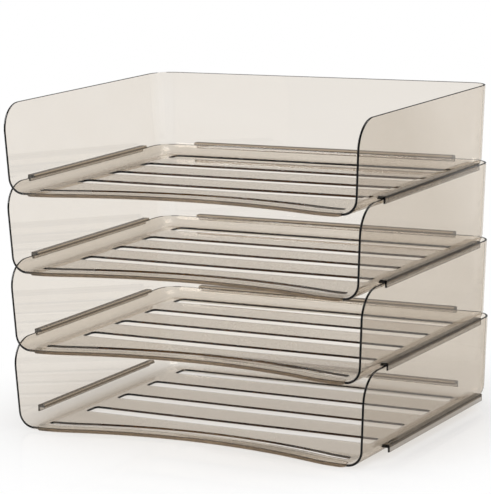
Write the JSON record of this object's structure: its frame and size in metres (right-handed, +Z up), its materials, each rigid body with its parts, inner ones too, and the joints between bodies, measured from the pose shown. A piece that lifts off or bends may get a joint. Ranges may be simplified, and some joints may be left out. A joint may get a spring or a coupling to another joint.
{
  "type": "letter tray",
  "caption": "Stack of open-front landscape letter trays in clear smoked plastic, each standing by moulded rails on the rim of the tray below.",
  "frame": {"origin": "middle of the footprint, on the surface that the feet of the lowest tray stand on", "axes": "+X to the right as seen from the open front, +Y to the back, +Z up"},
  "size_m": [0.3458, 0.2624, 0.2835],
  "materials": {
    "smoked_plastic": "clear smoked plastic, grey-brown, glossy"
  },
  "bodies": {
    "bottom_tray": {"bottom_tray": "smoked_plastic"},
    "second_tray": {"second_tray": "smoked_plastic"},
    "third_tray": {"third_tray": "smoked_plastic"},
    "top_tray": {"top_tray": "smoked_plastic"}
  },
  "joints": [
    {"name": "second_tray_lift", "type": "slide", "parent": "bottom_tray", "child": "second_tray", "axis": [0, 0, 1], "range_m": [0, 0.1]},
    {"name": "third_tray_lift", "type": "slide", "parent": "second_tray", "child": "third_tray", "axis": [0, 0, 1], "range_m": [0, 0.1]},
    {"name": "top_tray_lift", "type": "slide", "parent": "third_tray", "child": "top_tray", "axis": [0, 0, 1], "range_m": [0, 0.1]}
  ]
}
